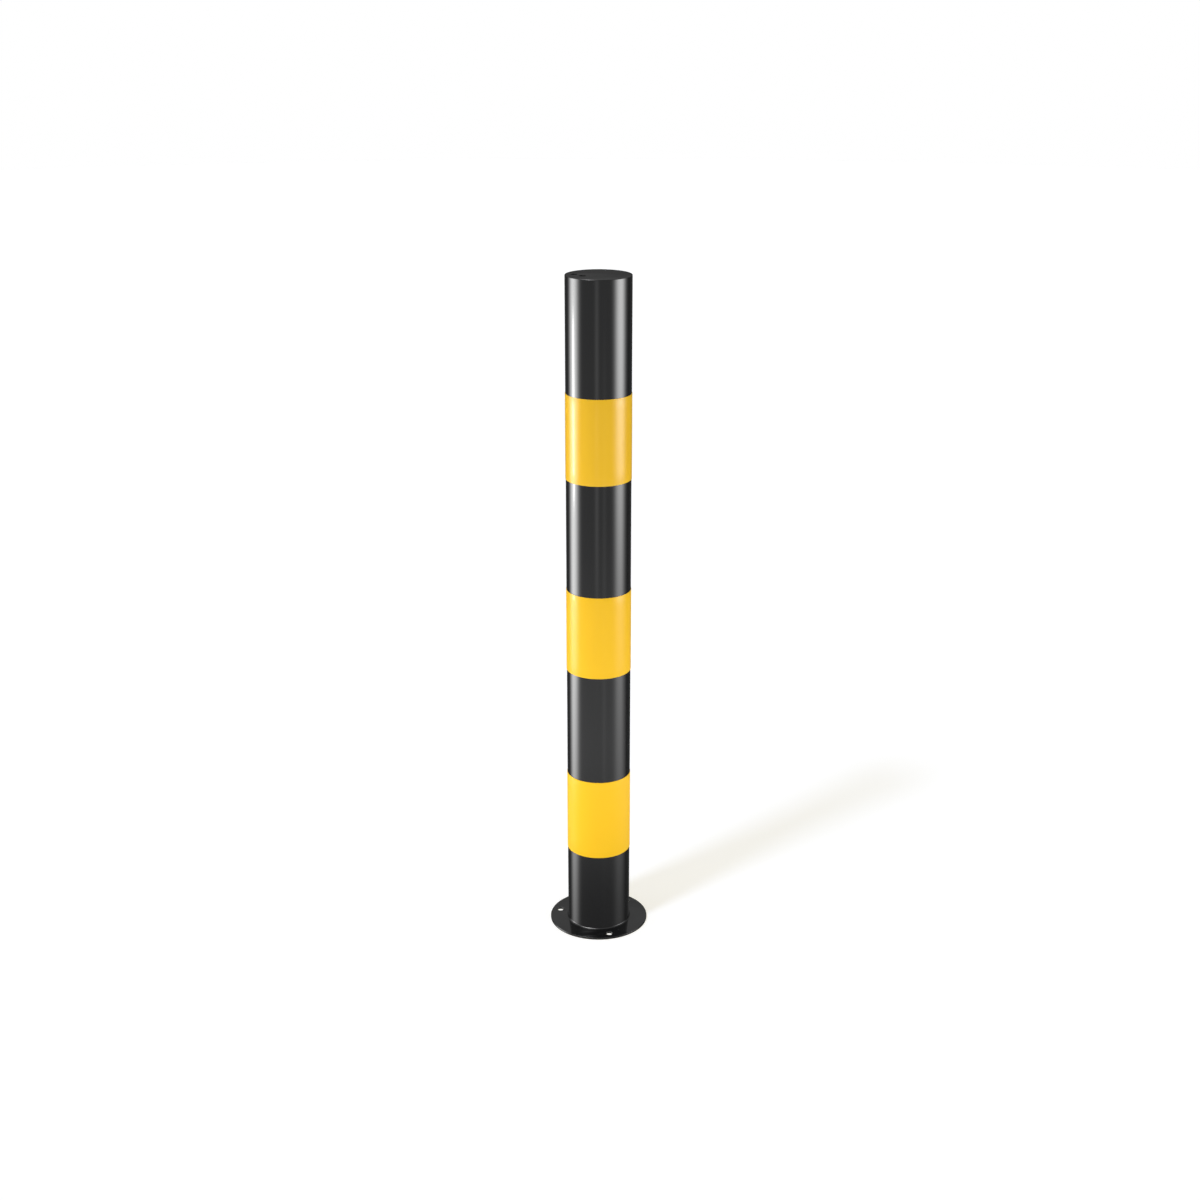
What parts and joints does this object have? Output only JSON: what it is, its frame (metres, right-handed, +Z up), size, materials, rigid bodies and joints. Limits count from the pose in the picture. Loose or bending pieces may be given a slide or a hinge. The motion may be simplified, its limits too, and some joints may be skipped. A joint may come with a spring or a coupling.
{
  "type": "safety bollard",
  "caption": "Round black steel post on a thin round bolt-down flange, closed by a flat lid and wrapped in bright yellow reflective bands that warn drivers.",
  "frame": {"origin": "centre of the flange's underside, on the ground", "axes": "+Z up along the post; -Y towards the picture's camera, so the overlaps of the film face +Y"},
  "size_m": [0.15, 0.15, 1.005],
  "materials": {
    "black_paint": "glossy black powder coat over steel",
    "yellow_film": "glossy bright yellow reflective film, self-adhesive"
  },
  "bodies": {
    "root": {"base_flange": "black_paint", "post_tube": "black_paint", "top_cap": "black_paint", "foot_weld": "black_paint", "cap_weld": "black_paint", "band_lower": "yellow_film", "band_middle": "yellow_film", "band_upper": "yellow_film"}
  },
  "joints": []
}
